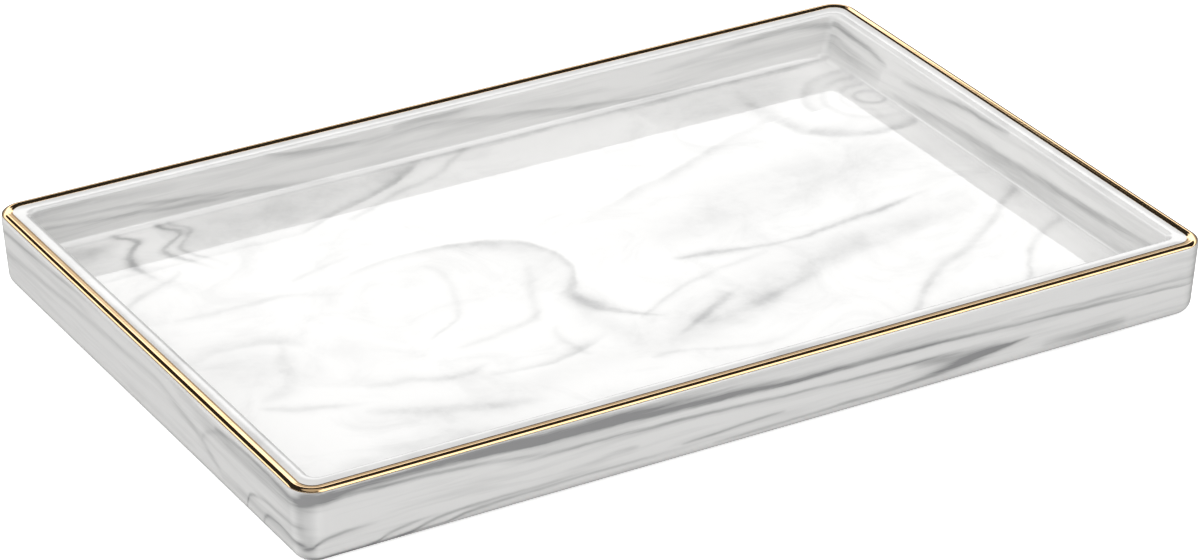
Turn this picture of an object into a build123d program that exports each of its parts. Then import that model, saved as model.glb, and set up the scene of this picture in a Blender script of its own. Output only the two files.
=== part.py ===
from build123d import *
import math
import os

os.makedirs("parts", exist_ok=True)

# Dresser vanity tray: a shallow rectangular dish of marbled, clear-glazed
# ceramic, with a gold band fired on to the rounded shoulder of its rim. It
# stands on four rubber pads, stuck into the recess of its underside.
#
# Millimetres, +Z up. The origin is on the surface that the tray stands on,
# under the middle of the tray. X runs along the length and Y along the width.

# Overall sizes
TRAY_LENGTH = 300.0
TRAY_WIDTH = 200.5
TRAY_HEIGHT = 25.1  # from the standing surface to the ridge of the gold band

# Outer wall, which leans outward on its way up
CORNER_RADIUS = 8.0  # in plan, at the rim
OUTER_DRAFT = 4.0  # degrees from upright
FOOT_FILLET = 4.5  # between the wall and the underside
SHOULDER_RADIUS = 1.7  # between the wall and the top of the rim

# Dish, whose short end walls lean out more than its long side walls
RIM_TO_DISH = 7.6  # from the rim's outer edge to the edge of the dish
DISH_DEPTH = 13.9
DISH_CORNER_RADIUS = 3.2  # in plan
SIDE_WALL_DRAFT = 10.5  # degrees from upright
END_WALL_DRAFT = 20.0  # degrees from upright
LIP_RADIUS = 1.2  # between the top of the rim and the inner wall
FLOOR_FILLET = 2.8  # between the inner wall and the dish floor

# Gold band: a thin strip let into the shoulder and the outer part of the rim.
# It rises from its inner edge to a ridge, from where it follows the shoulder.
BAND_INSET = 3.5  # from the rim's outer edge to the band's inner edge
BAND_WRAP = 50.0  # degrees that the band follows the shoulder round
BAND_SEAT = 0.3  # how deep it is let into the glaze
BAND_PROUD = 0.3  # how far its ridge and its outer part stand above the glaze
BAND_STEP = 0.08  # how far its inner edge stands above the glaze, all of it rounded
BAND_EDGE = 0.2  # rounding of its outer edge

# Recess of the underside
PAD_STAND = 0.8  # gap that the pads keep under the body
RECESS_DEPTH = 1.7
RECESS_MARGIN = 9.0  # from the body's lower outline to the recess
RECESS_CORNER_RADIUS = 8.0
RECESS_EDGE = 0.6  # rounding of the recess's edge

# Rubber pads and their adhesive discs
PAD_DIAMETER = 12.0
PAD_FROM_CENTRE_X = 124.0
PAD_FROM_CENTRE_Y = 74.0
PAD_EDGE = 0.6  # rounding of a pad's lower edge
ADHESIVE_DIAMETER = 11.0
ADHESIVE_THICKNESS = 0.2

# Where the outer faces would meet if the shoulder were sharp. The rounding
# takes away the very edge of a leaning wall, so the sharp outline is larger
# than the tray by this much on each side.
DRAFT_ANGLE = math.radians(OUTER_DRAFT)
CENTRE_INSET = SHOULDER_RADIUS * (math.tan(DRAFT_ANGLE) + 1 / math.cos(DRAFT_ANGLE))
EDGE_LOSS = CENTRE_INSET - SHOULDER_RADIUS * math.cos(DRAFT_ANGLE)
SHARP_LENGTH = TRAY_LENGTH + 2 * EDGE_LOSS
SHARP_WIDTH = TRAY_WIDTH + 2 * EDGE_LOSS

BODY_HEIGHT = TRAY_HEIGHT - PAD_STAND - BAND_PROUD
RIM_TOP = PAD_STAND + BODY_HEIGHT
LOWER_INSET = BODY_HEIGHT * math.tan(DRAFT_ANGLE)
RECESS_ROOF = PAD_STAND + RECESS_DEPTH
PAD_THICKNESS = RECESS_ROOF - ADHESIVE_THICKNESS

# The dish's outline at the rim, and how far its walls come in on their way down
DISH_LENGTH = TRAY_LENGTH - 2 * RIM_TO_DISH
DISH_WIDTH = TRAY_WIDTH - 2 * RIM_TO_DISH
END_WALL_RUN = DISH_DEPTH * math.tan(math.radians(END_WALL_DRAFT))
SIDE_WALL_RUN = DISH_DEPTH * math.tan(math.radians(SIDE_WALL_DRAFT))

# The shoulder's centre line, round which the band is swept
SHOULDER_X = SHARP_LENGTH / 2 - CENTRE_INSET
SHOULDER_Y = SHARP_WIDTH / 2 - CENTRE_INSET
SHOULDER_Z = RIM_TOP - SHOULDER_RADIUS

with BuildLine(Plane.XY.offset(SHOULDER_Z)) as shoulder_line:
    FilletPolyline(
        (0, -SHOULDER_Y),
        (SHOULDER_X, -SHOULDER_Y),
        (SHOULDER_X, SHOULDER_Y),
        (0, SHOULDER_Y),
        radius=CORNER_RADIUS - CENTRE_INSET,
    )
    mirror(about=Plane.YZ)
SHOULDER_PATH = shoulder_line.wires()[0]
SECTION_PLANE = Plane(origin=(0, -SHOULDER_Y, SHOULDER_Z), x_dir=(0, 1, 0), z_dir=(1, 0, 0))


def band_section(inner_radius, outer_radius, rim_end_height, rounded):
    """Section between two arcs round the shoulder, run on across the rim to rim_end_height."""
    flat = EDGE_LOSS + BAND_INSET - CENTRE_INSET
    with BuildSketch(SECTION_PLANE) as section:
        with BuildLine():
            skin = CenterArc((0, 0), outer_radius, 90, BAND_WRAP)
            seat = CenterArc((0, 0), inner_radius, 90, BAND_WRAP)
            Polyline(skin @ 0, (flat, rim_end_height), (flat, inner_radius), seat @ 0)
            Line(skin @ 1, seat @ 1)
        make_face()
        if rounded:
            rim_end = section.vertices().group_by(Axis.X)[-1].sort_by(Axis.Y)[-1]
            fillet(rim_end, BAND_STEP)
            wall_end = section.vertices().sort_by(Axis.X)[0]
            fillet(wall_end, BAND_EDGE)
    return section.sketch


# Ceramic body: drafted block, rounded shoulder and foot, dish, recess, seat
with BuildPart() as tray_body:
    with BuildSketch(Plane.XY.offset(RIM_TOP)):
        RectangleRounded(SHARP_LENGTH, SHARP_WIDTH, CORNER_RADIUS)
    extrude(amount=BODY_HEIGHT, dir=(0, 0, -1), taper=OUTER_DRAFT)
    fillet(tray_body.faces().sort_by(Axis.Z)[0].edges(), FOOT_FILLET)
    fillet(tray_body.faces().sort_by(Axis.Z)[-1].edges(), SHOULDER_RADIUS)

    with BuildSketch(Plane.XY.offset(RIM_TOP)):
        RectangleRounded(DISH_LENGTH, DISH_WIDTH, DISH_CORNER_RADIUS)
    with BuildSketch(Plane.XY.offset(RIM_TOP - DISH_DEPTH)):
        RectangleRounded(
            DISH_LENGTH - 2 * END_WALL_RUN,
            DISH_WIDTH - 2 * SIDE_WALL_RUN,
            DISH_CORNER_RADIUS,
        )
    loft(mode=Mode.SUBTRACT)
    dish_floor = tray_body.faces().filter_by(Axis.Z).sort_by(Axis.Z)[-2]
    fillet(dish_floor.edges(), FLOOR_FILLET)
    rim_face = tray_body.faces().filter_by(Axis.Z).sort_by(Axis.Z)[-1]
    fillet(rim_face.inner_wires()[0].edges(), LIP_RADIUS)

    with BuildSketch(Plane.XY.offset(PAD_STAND)):
        RectangleRounded(
            TRAY_LENGTH - 2 * (LOWER_INSET + RECESS_MARGIN),
            TRAY_WIDTH - 2 * (LOWER_INSET + RECESS_MARGIN),
            RECESS_CORNER_RADIUS,
        )
    extrude(amount=RECESS_DEPTH, mode=Mode.SUBTRACT)
    foot_ring = tray_body.faces().filter_by(Axis.Z).sort_by(Axis.Z)[0]
    fillet(foot_ring.inner_wires()[0].edges(), RECESS_EDGE)

    above_rim = SHOULDER_RADIUS + 2 * BAND_SEAT
    seat_cutter = band_section(SHOULDER_RADIUS - BAND_SEAT, above_rim, above_rim, False)
    sweep(seat_cutter, path=SHOULDER_PATH, mode=Mode.SUBTRACT)
tray_body.part.label = "tray_body"
export_step(tray_body.part, "parts/tray_body.step")

# Gold band, a closed ring that fills the seat and stands a little proud
with BuildPart() as gold_rim_band:
    ridge_radius = SHOULDER_RADIUS + BAND_PROUD
    rim_end_height = SHOULDER_RADIUS + BAND_STEP
    ring_section = band_section(
        SHOULDER_RADIUS - BAND_SEAT, ridge_radius, rim_end_height, True
    )
    sweep(ring_section, path=SHOULDER_PATH)
gold_rim_band.part.label = "gold_rim_band"
export_step(gold_rim_band.part, "parts/gold_rim_band.step")

# Four rubber pads and the adhesive disc that holds each one in the recess
PAD_CENTRES = {
    "front_left": (-PAD_FROM_CENTRE_X, -PAD_FROM_CENTRE_Y),
    "front_right": (PAD_FROM_CENTRE_X, -PAD_FROM_CENTRE_Y),
    "back_left": (-PAD_FROM_CENTRE_X, PAD_FROM_CENTRE_Y),
    "back_right": (PAD_FROM_CENTRE_X, PAD_FROM_CENTRE_Y),
}
for corner, centre in PAD_CENTRES.items():
    with BuildPart() as foot_pad:
        with BuildSketch():
            with Locations(centre):
                Circle(PAD_DIAMETER / 2)
        extrude(amount=PAD_THICKNESS)
        fillet(foot_pad.faces().sort_by(Axis.Z)[0].edges(), PAD_EDGE)
    foot_pad.part.label = f"foot_pad_{corner}"
    export_step(foot_pad.part, f"parts/foot_pad_{corner}.step")

    with BuildPart() as pad_adhesive:
        with BuildSketch(Plane.XY.offset(PAD_THICKNESS)):
            with Locations(centre):
                Circle(ADHESIVE_DIAMETER / 2)
        extrude(amount=ADHESIVE_THICKNESS)
    pad_adhesive.part.label = f"pad_adhesive_{corner}"
    export_step(pad_adhesive.part, f"parts/pad_adhesive_{corner}.step")
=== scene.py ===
import math

import bpy
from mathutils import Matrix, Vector


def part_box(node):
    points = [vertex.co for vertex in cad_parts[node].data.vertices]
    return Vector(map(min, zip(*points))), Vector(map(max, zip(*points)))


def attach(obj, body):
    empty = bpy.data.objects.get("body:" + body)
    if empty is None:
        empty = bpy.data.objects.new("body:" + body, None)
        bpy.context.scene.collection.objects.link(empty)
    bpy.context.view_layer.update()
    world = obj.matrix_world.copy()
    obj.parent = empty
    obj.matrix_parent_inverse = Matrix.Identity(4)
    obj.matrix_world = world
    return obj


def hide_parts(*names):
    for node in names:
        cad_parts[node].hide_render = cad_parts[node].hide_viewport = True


# Marbled ceramic vanity tray with a gold bead round its rim, on rubber pads.
# Metres, in the frame's own axes: +X along the tray, +Y towards its back, +Z up.
# Sizes below are in millimetres, unless they say otherwise, and MM makes them metres.

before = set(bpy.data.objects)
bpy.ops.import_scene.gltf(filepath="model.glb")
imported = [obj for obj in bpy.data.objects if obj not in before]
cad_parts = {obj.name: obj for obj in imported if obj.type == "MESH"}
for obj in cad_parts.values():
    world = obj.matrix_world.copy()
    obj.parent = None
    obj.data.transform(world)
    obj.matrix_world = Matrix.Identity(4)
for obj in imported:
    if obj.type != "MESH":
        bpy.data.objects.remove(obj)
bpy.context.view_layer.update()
MM = 0.001

# Ceramic body, from the frame
body_low, body_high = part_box("tray_body")
HALF_LENGTH = body_high.x / MM
HALF_WIDTH = body_high.y / MM
UNDERSIDE = body_low.z / MM
RIM_TOP = body_high.z / MM

# Outer wall
DRAFT = math.radians(4.0)
CORNER_RADIUS = 8.0
SHOULDER_RADIUS = 1.7
FOOT_FILLET = 4.5

# Dish
RIM_TO_DISH = 7.6
DISH_DEPTH = 13.9
DISH_CORNER_RADIUS = 3.2
SIDE_WALL_DRAFT = math.radians(10.5)
END_WALL_DRAFT = math.radians(20.0)
SIDE_LIP_RADIUS = 1.2
END_LIP_RADIUS = 2.2
FLOOR_FILLET = 2.8

# Gold bead: a slope up from its inner edge to a ridge, then round the shoulder
BEAD_INSET = 3.5
BEAD_WRAP = math.radians(50.0)
BEAD_RISE = 0.3
BEAD_STEP = 0.05
BEAD_STEEP_WIDTH = 0.6  # the flank's first part, which is steeper than the rest
BEAD_STEEP_RISE = 0.14
BEAD_SEAT = 0.3
BEAD_GAP = 0.02  # between the bead's hidden faces and its seat
RIDGE_WIDTH = 0.15  # of the flank, beside the ridge, that is worn round
RIDGE_WEAR = 0.005
RIDGE_TURN = math.radians(3.0)

# Recess of the underside
RECESS_MARGIN = 9.0
RECESS_DEPTH = 1.7
RECESS_CORNER_RADIUS = 8.0
RECESS_EDGE = 0.6
ROOF_ROUNDING = 0.5  # between the recess's roof and its wall
ROOF_ROUNDING_MIDDLE = 0.15

# How far the fired walls bow in, in waves along x and y
BOW_LEAST = 0.01
BOW = 0.12
SHORT_WAVE = (31.0, 27.0)
LONG_WAVE = (57.0, 43.0)
LONG_WAVE_SHARE = 0.6
WAVE_START = 0.6

# How finely the meshes are divided
GRID_STEP = 4.0
CORNER_STEPS = 14  # round each corner in plan
FOOT_STEPS = 10
WALL_STEPS = 6
SHOULDER_STEPS = 8
SEAT_STEPS = 5
LIP_STEPS = 8
DISH_WALL_STEPS = 4
FLOOR_FILLET_STEPS = 12
RECESS_EDGE_STEPS = 5
BEAD_EDGE_STEPS = 4
BEAD_STEEP_STEPS = 3
BEAD_FLANK_STEPS = 6
BEAD_ROUND_STEPS = 16

# Distances in plan are insets from the outline that the outer faces would
# have at the rim if the shoulder were sharp.
CENTRE_INSET = SHOULDER_RADIUS * (math.tan(DRAFT) + 1 / math.cos(DRAFT))
EDGE_LOSS = CENTRE_INSET - SHOULDER_RADIUS * math.cos(DRAFT)
SHARP_HALF_LENGTH = HALF_LENGTH + EDGE_LOSS
SHARP_HALF_WIDTH = HALF_WIDTH + EDGE_LOSS
DISH_FLOOR = RIM_TOP - DISH_DEPTH
RECESS_ROOF = UNDERSIDE + RECESS_DEPTH
STRAIGHT_STEPS_X = round(2 * (SHARP_HALF_LENGTH - CORNER_RADIUS) / GRID_STEP)
STRAIGHT_STEPS_Y = round(2 * (SHARP_HALF_WIDTH - CORNER_RADIUS) / GRID_STEP)
RING_COUNT = 4 * CORNER_STEPS + 2 * STRAIGHT_STEPS_X + 2 * STRAIGHT_STEPS_Y


# ---------------------------------------------------------------- meshes

def bow(x, y):
    """How far the wall is drawn in at a place on the outline, as kiln-fired walls are."""
    short = math.sin(x / SHORT_WAVE[0]) * math.cos(y / SHORT_WAVE[1] + WAVE_START)
    long = LONG_WAVE_SHARE * math.sin(x / LONG_WAVE[0] + y / LONG_WAVE[1])
    return BOW_LEAST + BOW * (0.5 + (short + long) / (2 * (1 + LONG_WAVE_SHARE)))


def ring(inset, height, radius):
    """A rounded rectangle of points. inset and height are (end walls, side walls) pairs."""
    half = (SHARP_HALF_LENGTH - inset[0], SHARP_HALF_WIDTH - inset[1])
    straight = (STRAIGHT_STEPS_Y, STRAIGHT_STEPS_X)
    signs = ((1, -1), (1, 1), (-1, 1), (-1, -1))
    points = []
    for corner, (sign_x, sign_y) in enumerate(signs):
        centre = (sign_x * (half[0] - radius), sign_y * (half[1] - radius))
        for step in range(CORNER_STEPS + 1):
            turn = math.radians(90 * (corner - 1) + 90 * step / CORNER_STEPS)
            out = (math.cos(turn), math.sin(turn))
            z = height[0] * out[0] ** 2 + height[1] * out[1] ** 2
            points.append((centre[0] + radius * out[0], centre[1] + radius * out[1], z))
        end = points[-1]
        following = signs[(corner + 1) % 4]
        start = (following[0] * (half[0] - radius), following[1] * (half[1] - radius))
        if corner % 2 == 0:
            start = (end[0], start[1])
        else:
            start = (start[0], end[1])
        steps = straight[corner % 2]
        for step in range(1, steps):
            share = step / steps
            x = end[0] + (start[0] - end[0]) * share
            y = end[1] + (start[1] - end[1]) * share
            points.append((x, y, end[2]))
    return points


def bowed(points):
    """The ring's points, moved in towards the middle by the wall's bow."""
    moved = []
    for x, y, z in points:
        inward = bow(x, y)
        moved.append((x - math.copysign(inward, x), y - math.copysign(inward, y), z))
    return moved


def skin(levels, closed=False):
    """Quads between each ring of vertices and the next, and back to the first if closed."""
    faces = []
    for level in range(levels if closed else levels - 1):
        low = level * RING_COUNT
        high = (level + 1) % levels * RING_COUNT
        for i in range(RING_COUNT):
            j = (i + 1) % RING_COUNT
            faces.append((low + i, low + j, high + j, high + i))
    return faces


def lid(vertices, first, flip):
    """Fills the ring that starts at vertex number first with a grid and four corner fans."""
    side_x, side_y = STRAIGHT_STEPS_X, STRAIGHT_STEPS_Y
    right_end = first + CORNER_STEPS
    top_start = right_end + side_y
    top_end = top_start + CORNER_STEPS
    left_start = top_end + side_x
    left_end = left_start + CORNER_STEPS
    low_start = left_end + side_y
    low_end = low_start + CORNER_STEPS

    def on_ring(number):
        return first + (number - first) % RING_COUNT

    base = len(vertices)
    z = vertices[first][2]
    for row in range(side_y + 1):
        y = vertices[on_ring(right_end + row)][1]
        for column in range(side_x + 1):
            x = vertices[on_ring(top_end + side_x - column)][0]
            vertices.append((x, y, z))

    def inner(column, row):
        return base + row * (side_x + 1) + column

    faces = []
    for row in range(side_y):
        for column in range(side_x):
            faces.append((inner(column, row), inner(column + 1, row),
                          inner(column + 1, row + 1), inner(column, row + 1)))
    for row in range(side_y):
        faces.append((inner(side_x, row), on_ring(right_end + row),
                      on_ring(right_end + row + 1), inner(side_x, row + 1)))
        faces.append((inner(0, row + 1), on_ring(left_end + side_y - row - 1),
                      on_ring(left_end + side_y - row), inner(0, row)))
    for column in range(side_x):
        faces.append((inner(column, 0), on_ring(low_end + column),
                      on_ring(low_end + column + 1), inner(column + 1, 0)))
        faces.append((inner(column + 1, side_y), on_ring(top_end + side_x - column - 1),
                      on_ring(top_end + side_x - column), inner(column, side_y)))
    fans = ((first, inner(side_x, 0)), (top_start, inner(side_x, side_y)),
            (left_start, inner(0, side_y)), (low_start, inner(0, 0)))
    for start, middle in fans:
        for step in range(CORNER_STEPS):
            faces.append((middle, on_ring(start + step), on_ring(start + step + 1)))
    if flip:
        faces = [tuple(reversed(face)) for face in faces]
    return faces


def mesh_object(name, vertices, faces):
    """A smooth-shaded object in metres, from points in millimetres."""
    mesh = bpy.data.meshes.new(name)
    mesh.from_pydata([tuple(MM * c for c in v) for v in vertices], [], faces)
    mesh.validate()
    mesh.polygons.foreach_set("use_smooth", [True] * len(mesh.polygons))
    piece = bpy.data.objects.new(name, mesh)
    bpy.context.scene.collection.objects.link(piece)
    normals = piece.modifiers.new("even_shading", "WEIGHTED_NORMAL")
    normals.mode = "FACE_AREA"
    normals.weight = 50
    return piece


def outer_radius(inset):
    """Corner radius in plan of the outer faces, which share their corners' centres."""
    return CORNER_RADIUS - inset


def same(value):
    """One value for both the end walls and the side walls."""
    return (value, value)


def arc(start, end, steps):
    """Angles from start to end in equal steps, both ends included."""
    return [start + (end - start) * step / steps for step in range(steps + 1)]


def outside_rings():
    """From the foot fillet up the outer wall to the bead's seat."""
    rings = []
    upright = math.pi / 2 + DRAFT
    centre_z = UNDERSIDE + FOOT_FILLET
    centre = (RIM_TOP - centre_z) * math.tan(DRAFT) + FOOT_FILLET / math.cos(DRAFT)
    for angle in arc(math.pi, upright, FOOT_STEPS):
        inset = centre - FOOT_FILLET * math.sin(angle)
        rings.append((same(inset), same(centre_z + FOOT_FILLET * math.cos(angle)), outer_radius(inset)))
    shoulder_z = RIM_TOP - SHOULDER_RADIUS
    wall_foot = rings[-1][1][0]
    wall_head = shoulder_z + SHOULDER_RADIUS * math.cos(upright)
    for z in arc(wall_foot, wall_head, WALL_STEPS)[1:-1]:
        inset = (RIM_TOP - z) * math.tan(DRAFT)
        rings.append((same(inset), same(z), outer_radius(inset)))
    for angle in arc(upright, BEAD_WRAP, SHOULDER_STEPS):
        inset = CENTRE_INSET - SHOULDER_RADIUS * math.sin(angle)
        z = shoulder_z + SHOULDER_RADIUS * math.cos(angle)
        rings.append((same(inset), same(z), outer_radius(inset)))
    seat_radius = SHOULDER_RADIUS - BEAD_SEAT
    for angle in arc(BEAD_WRAP, 0, SEAT_STEPS):
        inset = CENTRE_INSET - seat_radius * math.sin(angle)
        z = shoulder_z + seat_radius * math.cos(angle)
        rings.append((same(inset), same(z), outer_radius(inset)))
    seat_end = EDGE_LOSS + BEAD_INSET
    rings.append((same(seat_end), same(RIM_TOP - BEAD_SEAT), outer_radius(seat_end)))
    rings.append((same(seat_end), same(RIM_TOP), outer_radius(seat_end)))
    return rings


def wall_inset(draft, z):
    """Where the dish wall stands at a height."""
    return EDGE_LOSS + RIM_TO_DISH + (RIM_TOP - z) * math.tan(draft)


def dish_section(draft, lip_radius):
    """(inset, height, distance out from the wall's own face) down one dish wall."""
    section = []
    upright = math.pi / 2 - draft
    lip_z = RIM_TOP - lip_radius
    lip_centre = wall_inset(draft, lip_z) - lip_radius / math.cos(draft)
    for angle in arc(0, upright, LIP_STEPS):
        section.append((lip_centre + lip_radius * math.sin(angle), lip_z + lip_radius * math.cos(angle)))
    fillet_z = DISH_FLOOR + FLOOR_FILLET
    fillet_centre = wall_inset(draft, fillet_z) + FLOOR_FILLET / math.cos(draft)
    fillet = []
    for angle in arc(upright, 0, FLOOR_FILLET_STEPS):
        fillet.append((fillet_centre - FLOOR_FILLET * math.sin(angle),
                       fillet_z - FLOOR_FILLET * math.cos(angle)))
    for z in arc(section[-1][1], fillet[0][1], DISH_WALL_STEPS)[1:-1]:
        section.append((wall_inset(draft, z), z))
    return [(inset, z, wall_inset(draft, z) - inset) for inset, z in section + fillet]


def dish_rings():
    """From the flat of the rim, over the lip and down to the dish floor."""
    rings = []
    ends = dish_section(END_WALL_DRAFT, END_LIP_RADIUS)
    sides = dish_section(SIDE_WALL_DRAFT, SIDE_LIP_RADIUS)
    for end, side in zip(ends, sides):
        radius = DISH_CORNER_RADIUS + (end[2] + side[2]) / 2
        rings.append(((end[0], side[0]), (end[1], side[1]), radius))
    return rings


def underside_rings():
    """From the recess roof down its wall and out across the foot."""
    rings = []
    edge = EDGE_LOSS + (RIM_TOP - UNDERSIDE) * math.tan(DRAFT) + RECESS_MARGIN
    rounding = ((ROOF_ROUNDING, 0.0), (ROOF_ROUNDING_MIDDLE, ROOF_ROUNDING_MIDDLE), (0.0, ROOF_ROUNDING))
    for inward, down in rounding:
        rings.append((same(edge + inward), same(RECESS_ROOF - down), RECESS_CORNER_RADIUS - inward))
    for angle in arc(0, math.pi / 2, RECESS_EDGE_STEPS):
        out = RECESS_EDGE * (1 - math.cos(angle))
        z = UNDERSIDE + RECESS_EDGE * (1 - math.sin(angle))
        rings.append((same(edge - out), same(z), RECESS_CORNER_RADIUS + out))
    return rings


def tray_body():
    """The ceramic body, one closed skin of rings with a grid in its floor and its underside."""
    vertices = []
    rings = underside_rings() + outside_rings() + dish_rings()
    for inset, height, radius in rings:
        vertices += bowed(ring(inset, height, radius))
    faces = skin(len(rings))
    faces += lid(vertices, 0, True)
    faces += lid(vertices, (len(rings) - 1) * RING_COUNT, False)
    return mesh_object("marbled_tray_body", vertices, faces)


def bead_section():
    """(inset, height) round the bead's section, from its seat over the flank and back along the seat."""
    shoulder_z = RIM_TOP - SHOULDER_RADIUS
    inner_edge = EDGE_LOSS + BEAD_INSET - BEAD_GAP
    section = [(inner_edge, RIM_TOP - BEAD_SEAT + BEAD_GAP), (inner_edge, RIM_TOP)]
    for angle in arc(0, math.pi / 2, BEAD_EDGE_STEPS)[1:]:
        inset = inner_edge - BEAD_STEP * (1 - math.cos(angle))
        section.append((inset, RIM_TOP + BEAD_STEP * math.sin(angle)))
    steep_start = inner_edge - BEAD_STEP
    for share in arc(1 / (BEAD_STEEP_STEPS + 1), 1.0, BEAD_STEEP_STEPS):
        height = RIM_TOP + BEAD_STEP + BEAD_STEEP_RISE * share
        section.append((steep_start - BEAD_STEEP_WIDTH * share, height))
    knee = steep_start - BEAD_STEEP_WIDTH
    knee_rise = BEAD_STEP + BEAD_STEEP_RISE
    for inset in arc(knee, CENTRE_INSET + RIDGE_WIDTH, BEAD_FLANK_STEPS)[1:]:
        share = (knee - inset) / (knee - CENTRE_INSET)
        section.append((inset, RIM_TOP + knee_rise + (BEAD_RISE - knee_rise) * share - RIDGE_WEAR))
    outer = SHOULDER_RADIUS + BEAD_RISE
    for angle in arc(RIDGE_TURN, BEAD_WRAP, BEAD_ROUND_STEPS):
        section.append((CENTRE_INSET - outer * math.sin(angle), shoulder_z + outer * math.cos(angle)))
    seat = SHOULDER_RADIUS - BEAD_SEAT + BEAD_GAP
    for angle in arc(BEAD_WRAP, 0, SEAT_STEPS):
        section.append((CENTRE_INSET - seat * math.sin(angle), shoulder_z + seat * math.cos(angle)))
    return section


def gold_bead():
    """The raised gold bead, a closed ring of its section."""
    section = bead_section()
    vertices = []
    for inset, z in section:
        vertices += bowed(ring(same(inset), same(z), outer_radius(inset)))
    faces = [tuple(reversed(face)) for face in skin(len(section), closed=True)]
    return mesh_object("gold_rim_bead", vertices, faces)


# ---------------------------------------------------------------- materials

class Sheet:
    """A short way to write node trees: each call adds one node and returns its output."""

    def __init__(self, tree):
        self.tree = tree

    def add(self, kind, inputs=(), **settings):
        node = self.tree.nodes.new(kind)
        for key, value in settings.items():
            setattr(node, key, value)
        for key, value in dict(inputs).items():
            if isinstance(value, bpy.types.NodeSocket):
                self.tree.links.new(value, node.inputs[key])
            else:
                node.inputs[key].default_value = value
        return node

    def math(self, operation, *values, clamp=False):
        inputs = dict(enumerate(values))
        return self.add("ShaderNodeMath", inputs, operation=operation, use_clamp=clamp).outputs[0]

    def remap(self, value, low, high, out_low=0.0, out_high=1.0, smooth=True):
        inputs = {"Value": value, "From Min": low, "From Max": high, "To Min": out_low, "To Max": out_high}
        kind = "SMOOTHSTEP" if smooth else "LINEAR"
        return self.add("ShaderNodeMapRange", inputs, interpolation_type=kind).outputs["Result"]

    def point(self, x, y, z):
        return self.add("ShaderNodeCombineXYZ", {0: x, 1: y, 2: z}).outputs[0]

    def noise(self, vector, scale, detail=3.0, roughness=0.5, distortion=0.0):
        inputs = {"Vector": vector, "Scale": scale, "Detail": detail, "Roughness": roughness,
                  "Distortion": distortion}
        return self.add("ShaderNodeTexNoise", inputs).outputs["Fac"]


def new_material(name):
    """A material, the sheet that its nodes are written on, and its shader."""
    material = bpy.data.materials.new(name)
    material.use_nodes = True
    sheet = Sheet(material.node_tree)
    shader = material.node_tree.nodes["Principled BSDF"]
    return material, sheet, shader


def in_millimetres(sheet):
    """The place on the tray, in millimetres from the frame's origin."""
    place = sheet.add("ShaderNodeTexCoord").outputs["Object"]
    return sheet.add("ShaderNodeVectorMath", {0: place, "Scale": 1 / MM}, operation="SCALE").outputs[0]


def colour(sheet, shader, value, stops):
    """Base colour that follows a value through (position, colour) stops."""
    ramp = sheet.add("ShaderNodeValToRGB", {"Fac": value})
    elements = ramp.color_ramp.elements
    elements[0].position = stops[0][0]
    elements[1].position = stops[-1][0]
    for position, _ in stops[1:-1]:
        elements.new(position)
    for element, (_, tint) in zip(elements, stops):
        element.color = (*tint, 1)
    sheet.tree.links.new(ramp.outputs["Color"], shader.inputs["Base Color"])


def emboss(sheet, shader, height, strength, distance):
    """Fine relief from a height map. distance is in millimetres."""
    bump = sheet.add("ShaderNodeBump", {"Height": height, "Strength": strength, "Distance": distance * MM})
    sheet.tree.links.new(bump.outputs[0], shader.inputs["Normal"])


def set_curve(curve, points):
    """Puts a curve node's curve through the points, all from 0 to 1."""
    while len(curve.points) < len(points):
        curve.points.new(0.5, 0.5)
    for place, point in zip(curve.points, points):
        place.location = point


# Cross sections of a vein: soft on both sides, or with one crisp edge
VEIN_EDGES = {
    "soft": ((0, 0), (0.16, 0.07), (0.32, 0.36), (0.43, 0.85), (0.5, 1),
             (0.57, 0.85), (0.68, 0.36), (0.84, 0.07), (1, 0)),
    "crisp_high": ((0, 0), (0.14, 0.08), (0.32, 0.36), (0.48, 0.85), (0.55, 1),
                   (0.62, 0.8), (0.7, 0.2), (0.78, 0), (1, 0)),
    "crisp_low": ((0, 0), (0.22, 0), (0.3, 0.2), (0.38, 0.8), (0.45, 1),
                  (0.52, 0.85), (0.68, 0.36), (0.86, 0.08), (1, 0)),
}


def vein(sheet, total, along, across, reach, depth, points, edge, spread):
    """Adds one vein to total.

    along and across are in millimetres, but along is in degrees for a vein that runs
    round a centre. The vein's middle line, half width and strength follow the points
    (along, across, half width, strength). reach and depth are the (low, high) of along
    and across that the curves cover. spread widens the vein into its smoky edges, by a
    factor and by a distance.
    """
    low, high = reach
    bottom, top = depth
    rise = top - bottom
    middles, widths, strengths = [], [], []
    for place, height, half_width, strength in points:
        share = (place - low) / (high - low)
        middles.append((share, (height - bottom) / rise))
        widths.append((share, 2 * (spread[0] * half_width + spread[1]) / rise))
        strengths.append((share, strength))
    node = sheet.add("ShaderNodeRGBCurve", {"Color": sheet.remap(along, low, high, smooth=False)})
    node.mapping.extend = "HORIZONTAL"
    for curve, values in zip(node.mapping.curves, (middles, widths, strengths)):
        set_curve(curve, values)
    node.mapping.update()
    parts = sheet.add("ShaderNodeSeparateColor", {"Color": node.outputs["Color"]})
    height = sheet.remap(across, bottom, top, smooth=False)
    away = sheet.math("SUBTRACT", height, parts.outputs[0])
    width = sheet.math("MAXIMUM", parts.outputs[1], LEAST_WIDTH)
    place = sheet.math("ADD", sheet.math("DIVIDE", away, width), 0.5)
    profile = sheet.add("ShaderNodeFloatCurve", {"Value": place})
    profile.mapping.extend = "HORIZONTAL"
    set_curve(profile.mapping.curves[0], VEIN_EDGES[edge])
    profile.mapping.update()
    return sheet.math("MULTIPLY_ADD", profile.outputs[0], parts.outputs[2], total)


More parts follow.
